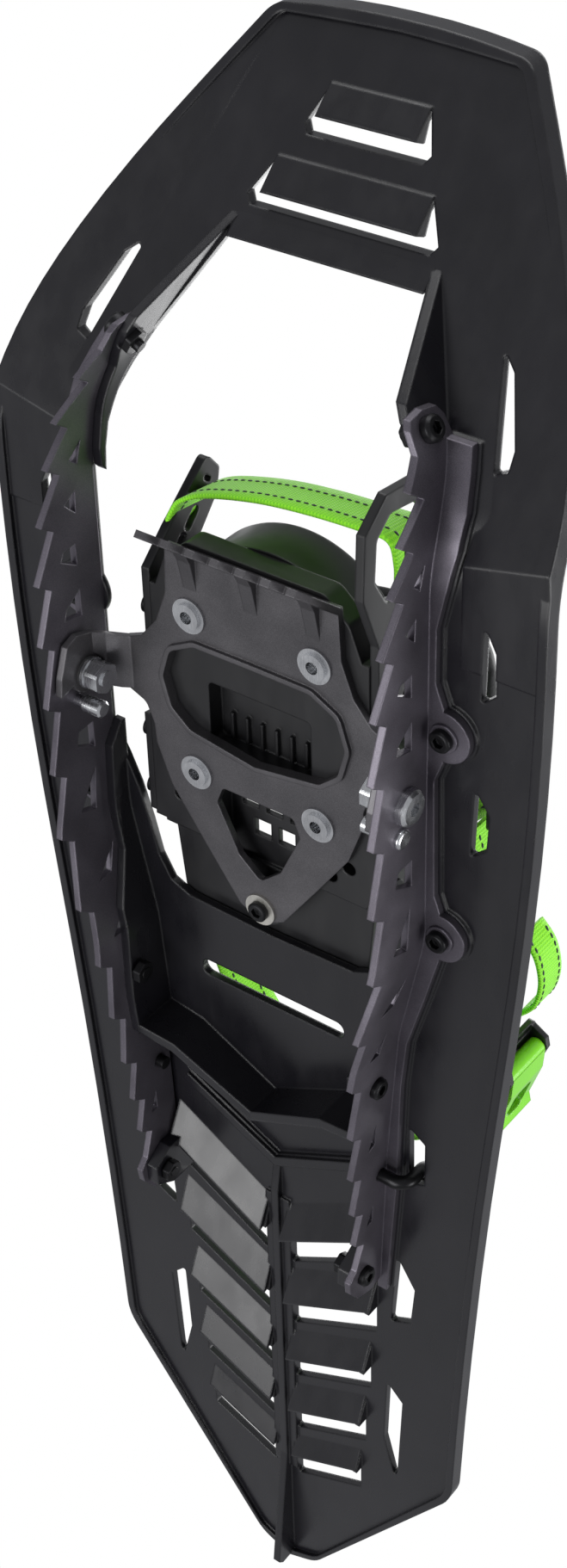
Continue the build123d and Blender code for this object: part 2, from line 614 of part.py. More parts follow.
with BuildPart() as crampon:
    with BuildSketch(plan(PLATE_Z)) as face:
        Polygon(*mirrored(PLATE_EDGE), align=None)
        waist = face.vertices().filter_by(lambda v: -20 < v.Y < 45 and abs(v.X) < 50)
        fillet(waist, 4.0)
        fillet(face.vertices().filter_by(lambda v: v.Y < -70), 3.0)
    extrude(amount=PLATE_T)
    with BuildSketch(plan(PLATE_Z)) as holes:
        Polygon(*mirrored(OVAL), align=None)
        fillet(holes.vertices(), 4.5)
    extrude(amount=PLATE_T, mode=Mode.SUBTRACT)
    with BuildSketch(plan(PLATE_Z)) as notch:
        Polygon(*mirrored(TRIANGLE), align=None)
        fillet(notch.vertices(), 2.2)
    extrude(amount=PLATE_T, mode=Mode.SUBTRACT)
    # rolled rims round the two openings, standing below the plate
    with BuildSketch(plan(PLATE_Z - 1.4)) as lips:
        Polygon(*mirrored(OVAL), align=None)
        fillet(lips.vertices(), 4.5)
        offset(amount=1.8, mode=Mode.ADD)
        with BuildSketch(plan(PLATE_Z - 1.4), mode=Mode.SUBTRACT) as oval:
            Polygon(*mirrored(OVAL), align=None)
            fillet(oval.vertices(), 4.5)
    extrude(amount=1.6)
    add(claw_blade())
    for x in (-24.0, 0.0, 24.0):
        with BuildSketch(side(x)):
            Polygon((41.5, PLATE_Z + 0.3), (56.0, PLATE_Z + 0.3), (61.5, -10.0), (54.5, -6.6),
                    align=None)
        extrude(amount=2.6, both=True)
    for s in (-1, 1):
        add(ear_arm(s))
    for s in (-1, 1):
        with BuildSketch(side(54 * s)):
            with Locations((PIVOT_Y, PIVOT_Z)):
                Circle(BUSH_R)
        extrude(amount=10 * s, mode=Mode.SUBTRACT)
        with BuildSketch(side(57.4 * s)):
            with Locations((PIVOT_Y, PIVOT_Z)):
                Circle(6.3)
        extrude(amount=(EAR_X - 57.4) * s, mode=Mode.SUBTRACT)
    for x, y in RIVETS:
        with Locations(spot(x, y, PLATE_Z), spot(-x, y, PLATE_Z)):
            Cylinder(RIVET_R, 12, mode=Mode.SUBTRACT)
    with Locations(spot(0, REAR_RIVET_Y, PLATE_Z)):
        Cylinder(2.0, 12, mode=Mode.SUBTRACT)

with BuildPart() as bushing:
    add(across(EAR_X - 0.5, EAR_X + PLATE_T + 0.2, PIVOT_Y, PIVOT_Z, BUSH_R))
    add(across(EAR_X - 0.5, EAR_X, PIVOT_Y, PIVOT_Z, 5.4))
    add(across(EAR_X - 2, EAR_X + 5, PIVOT_Y, PIVOT_Z, 3.0 + RUN_CLEARANCE), mode=Mode.SUBTRACT)


# ---------------------------------------------------------------- rivets and rear screw
with BuildPart() as rivet:
    for x, y in RIVETS:
        add(ring(x, y, PLATE_Z - 0.9, BASE_TOP, RIVET_R, 2.2))
        add(ring(x, y, PLATE_Z - 2.1, PLATE_Z - 0.9, 4.7, 2.2))
        add(ring(x, y, BASE_TOP, BASE_TOP + 1.0, 4.7, 2.2))
with BuildPart() as rivet_washer:
    for x, y in RIVETS:
        add(ring(x, y, PLATE_Z - 0.9, PLATE_Z, 6.3, RIVET_R))
rear_screw = stand_screw(0, REAR_RIVET_Y, PLATE_Z - 1.0, BASE_TOP + 3.4, 2.0, 3.7, 2.4, 2.0)
rear_washer = ring(0, REAR_RIVET_Y, PLATE_Z - 1.0, PLATE_Z, 6.0, 2.0)
rear_nut = stand_nut(0, REAR_RIVET_Y, BASE_TOP, BASE_TOP + 3.2, 7.5, 2.0)


# ---------------------------------------------------------------- binding base and pads
BASE_EDGE = ((0, 58.0), (27.0, 58.0), (36.0, 50.0), (42.0, 34.0), (43.0, 0), (45.0, -34.0),
             (42.0, -58.0), (0, -58.0))
HEEL_EDGE = ((0, -50.0), (43.0, -50.0), (37.5, -104.0), (29.0, -118.0), (0, -120.0))
SIDE_SCREWS_Y = (-24.0, -48.0)
LUG_SCREW_Y = 26.0
BASE_HOLES = ((27.6, -50.0), (35.0, -44.0))
WINDOWS = ((0, -38.5), (10.0, -38.5), (5.0, -49.5))
POCKET = 6.3

with BuildPart() as base:
    with BuildSketch(plan(BASE_Z)) as front:
        Polygon(*mirrored(BASE_EDGE), align=None)
        fillet(front.vertices().filter_by(lambda v: v.Y > -40), 5.0)
    extrude(amount=BASE_TOP - BASE_Z)
    with BuildSketch(plan(HEEL_Z)) as heel:
        Polygon(*mirrored(HEEL_EDGE), align=None)
        fillet(heel.vertices().filter_by(lambda v: v.Y < -90), 6.0)
    extrude(amount=BASE_TOP - HEEL_Z)
    with Locations(spot(0, REAR_RIVET_Y, (BASE_Z + HEEL_Z) / 2)):
        Cylinder(8.0, HEEL_Z - BASE_Z)
    # side pads that the arms and the toe anchors screw to
    with Locations(*[spot(s * 43.2, -36, (BASE_Z + BASE_TOP) / 2) for s in (-1, 1)]):
        Box(6.6, 42, BASE_TOP - BASE_Z)
    with Locations(*[spot(s * 40.8, 24, (BASE_Z + BASE_TOP) / 2) for s in (-1, 1)]):
        Box(4.8, 28, BASE_TOP - BASE_Z)
    # ribbed pocket seen through the plate's oval, and the square windows behind it
    with BuildSketch(plan(BASE_Z)):
        with Locations((0, -4.0)):
            RectangleRounded(41.0, 24.0, 2.0)
        with Locations((0, -46.5)):
            RectangleRounded(36.0, 33.0, 3.0)
    extrude(amount=POCKET, mode=Mode.SUBTRACT)
    with Locations(*[spot(x, -10.0, BASE_Z + POCKET - 0.8) for x in (-15, -9, -3, 3, 9, 15)]):
        Box(1.2, 10.0, 1.8)
    with Locations(*[spot(s * x, y, 3) for x, y in WINDOWS for s in (-1, 1) if x or s > 0]):
        Box(6.8, 6.8, 20, mode=Mode.SUBTRACT)
    with Locations(*[spot(s * x, y, 3) for x, y in BASE_HOLES for s in (-1, 1)]):
        Cylinder(2.6, 30, mode=Mode.SUBTRACT)
    with Locations(*[spot(s * x, y, 3) for x, y in RIVETS for s in (-1, 1)]):
        Cylinder(RIVET_R, 30, mode=Mode.SUBTRACT)
    with Locations(spot(0, REAR_RIVET_Y, 3)):
        Cylinder(2.0, 40, mode=Mode.SUBTRACT)
    for y in (*SIDE_SCREWS_Y, LUG_SCREW_Y):
        add(across(-48, -38, y, 3.0, 1.8), mode=Mode.SUBTRACT)
        add(across(38, 48, y, 3.0, 1.8), mode=Mode.SUBTRACT)

with BuildPart() as pad:
    with BuildSketch(plan(BASE_TOP)) as tread:
        Polygon((0, 50), (16, 47), (28, 36), (33, 22), (36, -34), (33, -100), (25, -112), (0, -114),
                (-25, -112), (-33, -100), (-36, -34), (-33, 22), (-28, 36), (-16, 47), align=None)
        fillet(tread.vertices(), 4.0)
        with Locations(*[(s * x, y) for x, y in RIVETS for s in (-1, 1)], (0, REAR_RIVET_Y)):
            Circle(6.5, mode=Mode.SUBTRACT)
        with Locations((0, -46.0)):
            RectangleRounded(40, 32, 2.0, mode=Mode.SUBTRACT)
    extrude(amount=3.0)
    for y in (42, 22, 16, 10, 4, -2, -8, -14, -60, -64, -86, -92, -98, -104):
        with Locations(spot(0, y, BASE_TOP + 3.0)):
            Box(56, 1.6, 2.0, mode=Mode.SUBTRACT)

# toe cradle: a low curved wall round the front of the foot
with BuildPart() as cradle:
    with BuildSketch(plan(BASE_TOP)):
        with BuildLine():
            ThreePointArc((-39.5, 12), (0, 57), (39.5, 12))
        trace(line_width=4.0)
    extrude(amount=18.5)
    with BuildSketch(side(-50)):
        Polygon((6, BASE_TOP), (64, BASE_TOP), (64, 25.5), (40, 24.0), (20, 16), (6, 10), align=None)
    extrude(amount=100, mode=Mode.INTERSECT)

# strap anchors at the toe: slotted lug on +X, closed loop on -X
with BuildPart() as lug:
    with BuildSketch(side(43.2)) as profile:
        Polygon((14, -1.0), (42, -1.0), (52, 10), (69, 31), (62, 37), (53, 35), (36, 20), (14, 8.5),
                align=None)
        fillet(profile.vertices().filter_by(lambda v: v.Y > 15), 2.5)
        with Locations(Location((60.5, 30.5), -50)):
            SlotOverall(4.0, 2.0, mode=Mode.SUBTRACT)
        with Locations(Location((50.0, 21.5), 45), Location((43.5, 14.5), 45)):
            SlotOverall(9.0, 3.4, mode=Mode.SUBTRACT)
        with Locations((LUG_SCREW_Y, 3.0)):
            Circle(1.8, mode=Mode.SUBTRACT)
    extrude(amount=3.2)
with BuildPart() as loop:
    with BuildSketch(side(-46.4)) as profile:
        Polygon((14, -1.0), (46, -1.0), (66, -9), (88, -8), (97, 3), (95, 22), (84, 33), (66, 35),
                (46, 22), (14, 8.5), align=None)
        fillet(profile.vertices().filter_by(lambda v: v.Y > 50), 5.0)
        with BuildSketch(mode=Mode.SUBTRACT) as window:
            Polygon((60, 3), (70, -3), (84, -2), (90, 5), (88, 18), (80, 26), (68, 27), (57, 16),
                    align=None)
            fillet(window.vertices(), 3.0)
        with Locations((LUG_SCREW_Y, 3.0)):
            Circle(1.8, mode=Mode.SUBTRACT)
    extrude(amount=3.2)

# side arms that carry the instep strap
with BuildPart() as arm_plate:
    with BuildSketch(side(46.5)) as profile:
        Polygon((-16, -1.0), (-56, -1.0), (-54, 22), (-50, 54), (-26, 54), (-20, 22), align=None)
        fillet(profile.vertices().filter_by(lambda v: v.Y > 15), 4.0)
        with Locations((-38, 47)):
            SlotOverall(22.5, 3.0, mode=Mode.SUBTRACT)
        with Locations((-37, 30), (-37, 16)):
            SlotOverall(14.0, 5.0, mode=Mode.SUBTRACT)
        with Locations(*[(y, 3.0) for y in SIDE_SCREWS_Y]):
            Circle(1.8, mode=Mode.SUBTRACT)
    extrude(amount=2.8)
with BuildPart() as arm_screw:
    for y, seat in ((SIDE_SCREWS_Y[0], 49.3), (SIDE_SCREWS_Y[1], 49.3), (LUG_SCREW_Y, 46.4)):
        add(across(40.0, seat + 0.2, y, 3.0, 1.8))
        add(across(seat, seat + 1.7, y, 3.0, 3.6))


# ---------------------------------------------------------------- straps
def band(points, z_low, width, thick=WEB_T):
    """Webbing standing on edge: a smooth plan curve given a thickness and a width."""
    with BuildPart() as strap:
        with BuildSketch(plan(z_low)):
            with BuildLine():
                Spline(*points)
            trace(line_width=thick)
        extrude(amount=width)
    return strap.part


toe_strap = band(((42.0, 58.0), (30.0, 66.0), (0, 72.5), (-30.0, 74.5), (-42.5, 73.0)), 12.0,
                 WEB_W)
heel_strap = band(((52, -50), (58, -70), (63, -110), (61, -160), (36, -202), (0, -212),
                   (-36, -202), (-61, -160), (-63, -110), (-58, -70), (-52, -50)), 42.0, WEB_W)
strap_tail = band(((-64.6, -101), (-70.5, -108), (-73, -119), (-71, -130), (-65.5, -137)), 59.0,
                  14.0)
with BuildPart() as instep_strap:
    with BuildSketch(cross(-27)):
        with BuildLine():
            Spline((51.0, 40), (53.5, 58), (46, 78), (28, 93), (0, 98), (-28, 93), (-46, 78),
                   (-53.5, 58), (-51.0, 40))
        trace(line_width=WEB_T)
    extrude(amount=WEB_W)
with BuildPart() as instep_pad:
    with BuildSketch(cross(-2)):
        with BuildLine():
            Spline((42.5, 70), (26, 86), (0, 91.5), (-26, 86), (-42.5, 70))
        trace(line_width=7.0)
    extrude(amount=68)


# ---------------------------------------------------------------- cam buckles
CHEEK_X = 11.0
PIN_AT = (-4.0, 7.0)
PIN_R = 1.5


def lifted(plane, height):
    """The same plane moved along its normal."""
    return plane.offset(height)


def buckle_axis(plane, x):
    """Plane square to the buckle's pin, at x across the strap; sketch x runs down the strap."""
    return Plane(origin=plane.from_local_coords((x, 0, 0)), x_dir=plane.y_dir, z_dir=plane.x_dir)


def buckle_body(plane):
    """Base plate with two cheeks."""
    with BuildPart() as body:
        with BuildSketch(lifted(plane, 1.0)):
            RectangleRounded(27.0, 27.0, 3.0)
            with Locations((0, 10.0), (0, -10.5)):
                Rectangle(21.0, 3.0, mode=Mode.SUBTRACT)
        extrude(amount=2.0)
        for x in (-CHEEK_X - 2.2, CHEEK_X):
            with BuildSketch(buckle_axis(plane, x)):
                Polygon((-12, 2.0), (8, 2.0), (2, 9.5), (-5, 11.0), (-9, 9.5), align=None)
                with Locations(PIN_AT):
                    Circle(PIN_R, mode=Mode.SUBTRACT)
            extrude(amount=2.2)
    return body.part


def buckle_pin(plane):
    """Pin across the cheeks with a head at either end."""
    with BuildPart() as pin:
        for x, length, radius in ((-14.4, 28.8, PIN_R), (-14.6, 1.2, 2.5), (13.4, 1.2, 2.5)):
            with BuildSketch(buckle_axis(plane, x)):
                with Locations(PIN_AT):
                    Circle(radius)
            extrude(amount=length)
    return pin.part


def buckle_lever(plane, length):
    """Cam and thumb lever that turns on the pin."""
    x = CHEEK_X - 0.35
    with BuildPart() as lever:
        with BuildSketch(buckle_axis(plane, -x)):
            with Locations(PIN_AT):
                Circle(3.6)
            Polygon((-5, 10.6), (4, 11.4), (length - 4, 9.0), (length, 10.6), (length, 8.4),
                    (length - 4, 6.6), (4, 7.6), (-2, 4.6), align=None)
            with Locations(PIN_AT):
                Circle(PIN_R + RUN_CLEARANCE, mode=Mode.SUBTRACT)
        extrude(amount=2 * x)
        with BuildSketch(lifted(plane, 0)):
            with Locations((0, (length + 4) / 2)):
                RectangleRounded(11.0, length - 10, 3.0)
        extrude(amount=20, mode=Mode.SUBTRACT)
    return lever.part


heel_plane = Plane(origin=spot(-63.6, -154, 52), x_dir=(0, 0, -1), z_dir=(-0.985, -0.17, 0))
instep_plane = Plane(origin=spot(-54.2, -37, 60), x_dir=(0, 1, 0), z_dir=(-1, 0, 0.1))


# ---------------------------------------------------------------- heel lift bail
BAIL_X = 61.8
with BuildPart() as bail:
    with BuildLine() as wire:
        FilletPolyline(spot(45.6, BAIL_Y, BAIL_Z), spot(BAIL_X, BAIL_Y, BAIL_Z),
                       spot(BAIL_X, BAIL_Y, 7.4), spot(BAIL_X, -214, 7.4), spot(-BAIL_X, -214, 7.4),
                       spot(-BAIL_X, BAIL_Y, 7.4), spot(-BAIL_X, BAIL_Y, BAIL_Z),
                       spot(-45.6, BAIL_Y, BAIL_Z), radius=5.0)
    with BuildSketch(Plane(origin=wire.line @ 0, z_dir=wire.line % 0)):
        Circle(BAIL_R)
    sweep()


# ---------------------------------------------------------------- finished deck
with BuildPart() as land:
    # plastic land between the rail flange and the sole
    add(plan_prism(tuple((x + 1.2, y) for x, y in FLANGE_EDGE) + FLANGE_ROOT, -4, 40))
    with Locations(*[spot(FLANGE_SCREW_X, y, 0) for y in FLANGE_SCREWS_Y]):
        Cylinder(LOBE_R + 1.2, 80)
    add(sole_strip(-LAND_T, 1), mode=Mode.INTERSECT)

with BuildPart() as boss:
    # boss inside the rail's rear screw
    add(rail_band(-5.0, 0, -30, 1))
    add(side_prism(((-226, 1), (-226, -12), (-221, -20.5), (-213, -20.5), (-208, -12),
                    (-208, 1)), 30), mode=Mode.INTERSECT)

with BuildPart() as hex_seat:
    with BuildSketch(side(FRONT_X - FRONT_GRIP - 4)):
        with Locations((FRONT_Y, FRONT_Z)):
            RegularPolygon(4.0, 6, major_radius=False)
    extrude(amount=5.2)

with BuildPart() as deck:
    add(moulding.part)
    for piece in (land.part, boss.part):
        add(piece)
        add(mirror(piece, about=Plane.YZ, mode=Mode.PRIVATE))
    screw_holes = [across(30, 80, y, z, 2.0) for y, z in (MID_SCREW, REAR_SCREW)]
    screw_holes.append(front_turned(across(FRONT_X - 20, FRONT_X + 5, FRONT_Y, FRONT_Z, 2.0)))
    for piece in (front_turned(hex_seat.part), *screw_holes):
        add(piece, mode=Mode.SUBTRACT)
        add(mirror(piece, about=Plane.YZ, mode=Mode.PRIVATE), mode=Mode.SUBTRACT)
    with Locations(*[spot(s * FLANGE_SCREW_X, y, 0) for y in FLANGE_SCREWS_Y for s in (-1, 1)]):
        Cylinder(2.0, 20, mode=Mode.SUBTRACT)


# ---------------------------------------------------------------- files
def both(piece):
    """A +X part with its mirror image, written as one node of separate solids."""
    twin = mirror(piece, about=Plane.YZ)
    return Compound(children=piece.solids() + twin.solids())


def group(pieces):
    """Separate solids gathered in one node."""
    return Compound(children=[solid for piece in pieces for solid in piece.solids()])


NODES = {
    "deck": deck.part,
    "rail_left": rail_left,
    "rail_right": mirror(rail_left, about=Plane.YZ),
    "rail_screws": both(group(rail_screws)),
    "rail_nuts": both(group(rail_nuts)),
    "flange_screws": both(group(flange_screws)),
    "flange_washers": both(group(flange_washers)),
    "flange_nuts": both(group(flange_nuts)),
    "pivot_bolts": both(pivot_bolt),
    "pivot_washers": both(pivot_washer.part),
    "pivot_nuts": both(pivot_nut),
    "pivot_bushings": both(bushing.part),
    "stop_pins": both(stop_pin.part),
    "heel_lift_bar": bail.part,
    "crampon_plate": crampon.part,
    "plate_rivets": both(rivet.part),
    "rivet_washers": both(rivet_washer.part),
    "rear_screw": rear_screw,
    "rear_washer": rear_washer,
    "rear_nut": rear_nut,
    "binding_base": base.part,
    "foot_pad": pad.part,
    "toe_cradle": cradle.part,
    "toe_lug": lug.part,
    "toe_loop": loop.part,
    "side_arm_left": arm_plate.part,
    "side_arm_right": mirror(arm_plate.part, about=Plane.YZ),
    "side_arm_screws": both(arm_screw.part),
    "toe_strap": toe_strap,
    "instep_strap": instep_strap.part,
    "instep_pad": instep_pad.part,
    "heel_strap": heel_strap,
    "strap_tail": strap_tail,
    "instep_buckle": buckle_body(instep_plane),
    "instep_buckle_pin": buckle_pin(instep_plane),
    "instep_lever": buckle_lever(instep_plane, 19.0),
    "heel_buckle": buckle_body(heel_plane),
    "heel_buckle_pin": buckle_pin(heel_plane),
    "heel_lever": buckle_lever(heel_plane, 24.0),
}
os.makedirs("parts", exist_ok=True)
for name, piece in NODES.items():
    piece.label = name
    export_step(piece, f"parts/{name}.step")
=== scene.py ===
import math

import bmesh
import bpy
from mathutils import Matrix, Vector


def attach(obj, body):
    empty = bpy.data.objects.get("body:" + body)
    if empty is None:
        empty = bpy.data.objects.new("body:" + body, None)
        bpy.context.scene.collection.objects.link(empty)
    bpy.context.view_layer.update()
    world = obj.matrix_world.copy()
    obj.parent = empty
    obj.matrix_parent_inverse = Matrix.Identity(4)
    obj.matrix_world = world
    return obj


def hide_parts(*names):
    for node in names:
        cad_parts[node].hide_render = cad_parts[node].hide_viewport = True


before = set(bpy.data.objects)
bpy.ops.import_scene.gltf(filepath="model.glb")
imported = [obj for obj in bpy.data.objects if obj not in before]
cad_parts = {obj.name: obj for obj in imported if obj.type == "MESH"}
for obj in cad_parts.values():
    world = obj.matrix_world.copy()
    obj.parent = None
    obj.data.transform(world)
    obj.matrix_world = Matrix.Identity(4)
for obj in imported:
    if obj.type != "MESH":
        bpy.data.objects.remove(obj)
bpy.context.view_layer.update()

# The CAD's own coordinates: x across, y from the rails' middle, z from the flat sole, in mm.
DATUM_Y = 116.6
DECK_Z = 32.0


def P(x, y, z):
    """A point of the deck's coordinates (mm) in the row frame (m)."""
    return Vector((x, y + DATUM_Y, z + DECK_Z)) / 1000


# ------------------------------------------------------------------ camera
cam = bpy.data.objects.new("camera", bpy.data.cameras.new("camera"))
bpy.context.scene.collection.objects.link(cam)
right = Vector((-0.80012, -0.02351, 0.59938))
forward = Vector((0.49024, -0.60141, 0.63085)).normalized()
up = right.cross(forward).normalized()
right = forward.cross(up).normalized()
turn = Matrix((right, up, -forward)).transposed().to_4x4()
cam.matrix_world = Matrix.Translation(P(-393.70, 451.20, -496.49)) @ turn
cam.data.sensor_width = 36.0
cam.data.lens = 55.64
cam.data.clip_start = 0.02
cam.data.clip_end = 20
bpy.context.scene.camera = cam
bpy.context.scene.view_settings.view_transform = "Standard"


# ------------------------------------------------------------------ materials
PLASTIC_EDGE = 0.0011
STEEL_EDGE = 0.0007
RIB_PITCH = 1.25
YARN_PITCH = 0.9


def new_material(name):
    """A material with its node tree and Principled shader."""
    m = bpy.data.materials.new(name)
    m.use_nodes = True
    t = m.node_tree
    t.nodes.clear()
    out = t.nodes.new("ShaderNodeOutputMaterial")
    bsdf = t.nodes.new("ShaderNodeBsdfPrincipled")
    t.links.new(bsdf.outputs["BSDF"], out.inputs["Surface"])
    return m, t, bsdf


def node(t, kind, **values):
    """A node with input values, or properties where it has no such input."""
    n = t.nodes.new(kind)
    for k, v in values.items():
        if k in n.inputs:
            n.inputs[k].default_value = v
        else:
            setattr(n, k, v)
    return n


def coords(t, scale=(1, 1, 1), uv=False):
    """Object coordinates in metres, or UV coordinates, times a scale."""
    c = t.nodes.new("ShaderNodeTexCoord")
    m = t.nodes.new("ShaderNodeMapping")
    m.inputs["Scale"].default_value = scale
    t.links.new(c.outputs["UV" if uv else "Object"], m.inputs["Vector"])
    return m.outputs["Vector"]


def ramp(t, value, stops):
    """Colour by value, through (position, colour) stops."""
    r = t.nodes.new("ShaderNodeValToRGB")
    e = r.color_ramp.elements
    while len(e) < len(stops):
        e.new(0.5)
    for i, (pos, col) in enumerate(stops):
        e[i].position = pos
        e[i].color = (*col, 1)
    t.links.new(value, r.inputs["Fac"])
    return r.outputs["Color"]


def noise(t, vector, scale, detail, rough=0.55):
    n = node(t, "ShaderNodeTexNoise", Scale=scale, Detail=detail, Roughness=rough)
    t.links.new(vector, n.inputs["Vector"])
    return n.outputs["Fac"]


def math_node(t, op, a, b):
    n = t.nodes.new("ShaderNodeMath")
    n.operation = op
    for i, v in enumerate((a, b)):
        if isinstance(v, (int, float)):
            n.inputs[i].default_value = v
        else:
            t.links.new(v, n.inputs[i])
    return n.outputs[0]


def multiply(t, a, b):
    """Product of two colours."""
    n = node(t, "ShaderNodeMix", data_type="RGBA", blend_type="MULTIPLY")
    n.inputs["Factor"].default_value = 1.0
    t.links.new(a, n.inputs["A"])
    t.links.new(b, n.inputs["B"])
    return n.outputs["Result"]


def bump(t, bsdf, height, strength, distance, edge=0.0):
    """Surface relief, over edges eased by the given radius in metres."""
    b = node(t, "ShaderNodeBump", Strength=strength, Distance=distance)
    t.links.new(height, b.inputs["Height"])
    t.links.new(b.outputs["Normal"], bsdf.inputs["Normal"])
    if edge:
        eased = node(t, "ShaderNodeBevel", Radius=edge)
        eased.samples = 4
        t.links.new(eased.outputs["Normal"], b.inputs["Normal"])


def plastic(name, dark, light, rough_low, rough_high, grain=2200, depth=0.00002, coat=0.0):
    """Moulded plastic: faint flow mottling, fine spark-eroded grain and handling scuffs."""
    m, t, bsdf = new_material(name)
    v = coords(t)
    flow = noise(t, v, 22, 3)
    fine = noise(t, v, grain, 2)
    scuff = noise(t, coords(t, (120, 40, 120)), 1.0, 3, 0.5)
    t.links.new(ramp(t, flow, [(0.3, dark), (0.75, light)]), bsdf.inputs["Base Color"])
    rough = ramp(t, scuff, [(0.35, (rough_low,) * 3), (0.75, (rough_high,) * 3)])
    t.links.new(rough, bsdf.inputs["Roughness"])
    relief = math_node(t, "ADD", math_node(t, "MULTIPLY", flow, 0.6), fine)
    bump(t, bsdf, relief, 0.15, depth, PLASTIC_EDGE)
    bsdf.inputs["Specular IOR Level"].default_value = 0.55
    bsdf.inputs["Coat Weight"].default_value = coat
    bsdf.inputs["Coat Roughness"].default_value = 0.15
    return m


def painted(name, dark, light, metallic, rough_low, rough_high):
    """Painted or plated sheet steel: metallic fleck, orange peel and rubbed patches."""
    m, t, bsdf = new_material(name)
    v = coords(t)
    fleck = noise(t, v, 3800, 2)
    cloud = noise(t, v, 35, 4)
    peel = noise(t, v, 700, 2)
    base = ramp(t, cloud, [(0.3, dark), (0.75, light)])
    speck = ramp(t, fleck, [(0.42, (0.82,) * 3), (0.62, (1.12,) * 3)])
    t.links.new(multiply(t, base, speck), bsdf.inputs["Base Color"])
    t.links.new(ramp(t, cloud, [(0.3, (rough_low,) * 3), (0.7, (rough_high,) * 3)]),
                bsdf.inputs["Roughness"])
    bump(t, bsdf, peel, 0.25, 0.00003, STEEL_EDGE)
    bsdf.inputs["Metallic"].default_value = metallic
    return m


def turned(name, base, rough_low, rough_high):
    """Bright turned or pressed metal with fine tool marks."""
    m, t, bsdf = new_material(name)
    marks = noise(t, coords(t, (2600, 260, 260)), 1.0, 3)
    cloud = noise(t, coords(t), 180, 3)
    tint = tuple(c * 0.72 for c in base)
    t.links.new(ramp(t, cloud, [(0.25, tint), (0.7, base)]), bsdf.inputs["Base Color"])
    t.links.new(ramp(t, marks, [(0.3, (rough_low,) * 3), (0.7, (rough_high,) * 3)]),
                bsdf.inputs["Roughness"])
    bump(t, bsdf, marks, 0.15, 0.00002)
    bsdf.inputs["Metallic"].default_value = 1.0
    return m


def webbing_material(name, low, high):
    """Woven strap: UV is in millimetres, u across and v along, with ribs and yarn relief, and painted
    shade in the rib grooves.
    """
    m, t, bsdf = new_material(name)
    uv = coords(t, uv=True)
    sep = t.nodes.new("ShaderNodeSeparateXYZ")
    t.links.new(uv, sep.inputs["Vector"])
    turns_v = math_node(t, "MULTIPLY", sep.outputs["Y"], 2 * math.pi / RIB_PITCH)
    turns_u = math_node(t, "MULTIPLY", sep.outputs["X"], 2 * math.pi / YARN_PITCH)
    wave_v = math_node(t, "SINE", turns_v, 0)
    wave_u = math_node(t, "SINE", turns_u, 0)
    weave = math_node(t, "MULTIPLY", wave_u, wave_v)
    ribs = math_node(t, "ADD", math_node(t, "MULTIPLY", weave, 0.5),
                     math_node(t, "MULTIPLY", wave_v, 0.5))
    fuzz = noise(t, coords(t), 2600, 3)
    height = math_node(t, "ADD", ribs, math_node(t, "MULTIPLY", fuzz, 0.5))
    # Colour: painted shade, darker in the rib grooves and lighter on the rib crowns, plus random yarn
    # tone from the fuzz noise.
    shade = math_node(t, "ADD", math_node(t, "MULTIPLY", ribs, 0.28),
                      math_node(t, "MULTIPLY", fuzz, 0.8))
    t.links.new(ramp(t, shade, [(0.05, low), (0.75, high)]), bsdf.inputs["Base Color"])
    bump(t, bsdf, height, 0.6, 0.00018)
    bsdf.inputs["Roughness"].default_value = 0.62
    bsdf.inputs["Sheen Weight"].default_value = 0.35
    bsdf.inputs["Sheen Roughness"].default_value = 0.4
    return m


def fabric(name, low, high):
    """Coarse padded textile with a mesh-like weave."""
    m, t, bsdf = new_material(name)
    v = coords(t)
    weave = node(t, "ShaderNodeTexVoronoi", Scale=900.0)
    t.links.new(v, weave.inputs["Vector"])
    fuzz = noise(t, v, 1500, 3)
    t.links.new(ramp(t, fuzz, [(0.3, low), (0.7, high)]), bsdf.inputs["Base Color"])
    bump(t, bsdf, weave.outputs["Distance"], 0.7, 0.0002)
    bsdf.inputs["Roughness"].default_value = 0.85
    bsdf.inputs["Sheen Weight"].default_value = 0.25
    return m


DECK = plastic("deck_plastic", (0.0042, 0.0040, 0.0056), (0.0072, 0.0068, 0.0092), 0.24, 0.36)
BLACK = plastic("binding_plastic", (0.0045, 0.0045, 0.0052), (0.0085, 0.0085, 0.0095), 0.30, 0.44)
RUBBER = plastic("pad_rubber", (0.015, 0.015, 0.016), (0.026, 0.026, 0.027), 0.62, 0.8,
                 1500, 0.00006)
STEEL = painted("rail_steel", (0.115, 0.105, 0.125), (0.16, 0.148, 0.175), 0.8, 0.30, 0.42)
PLATE = painted("crampon_steel", (0.095, 0.092, 0.098), (0.135, 0.13, 0.138), 0.75, 0.30, 0.42)
OXIDE = painted("black_steel", (0.012, 0.012, 0.013), (0.025, 0.025, 0.027), 0.8, 0.28, 0.42)
BRIGHT = turned("bright_steel", (0.72, 0.73, 0.75), 0.16, 0.32)
CREAM = turned("pale_washer", (0.78, 0.76, 0.70), 0.3, 0.45)
LIME = webbing_material("lime_webbing", (0.13, 0.60, 0.002), (0.34, 0.92, 0.008))
THREAD = fabric("dark_thread", (0.006, 0.02, 0.012), (0.02, 0.05, 0.03))
PAD = fabric("pad_fabric", (0.008, 0.008, 0.009), (0.022, 0.022, 0.024))
LEVER = plastic("lever_green", (0.17, 0.60, 0.012), (0.24, 0.74, 0.02), 0.22, 0.34,
                1800, 0.00001, 0.3)
NYLON = plastic("bushing_nylon", (0.03, 0.03, 0.032), (0.05, 0.05, 0.052), 0.4, 0.55)

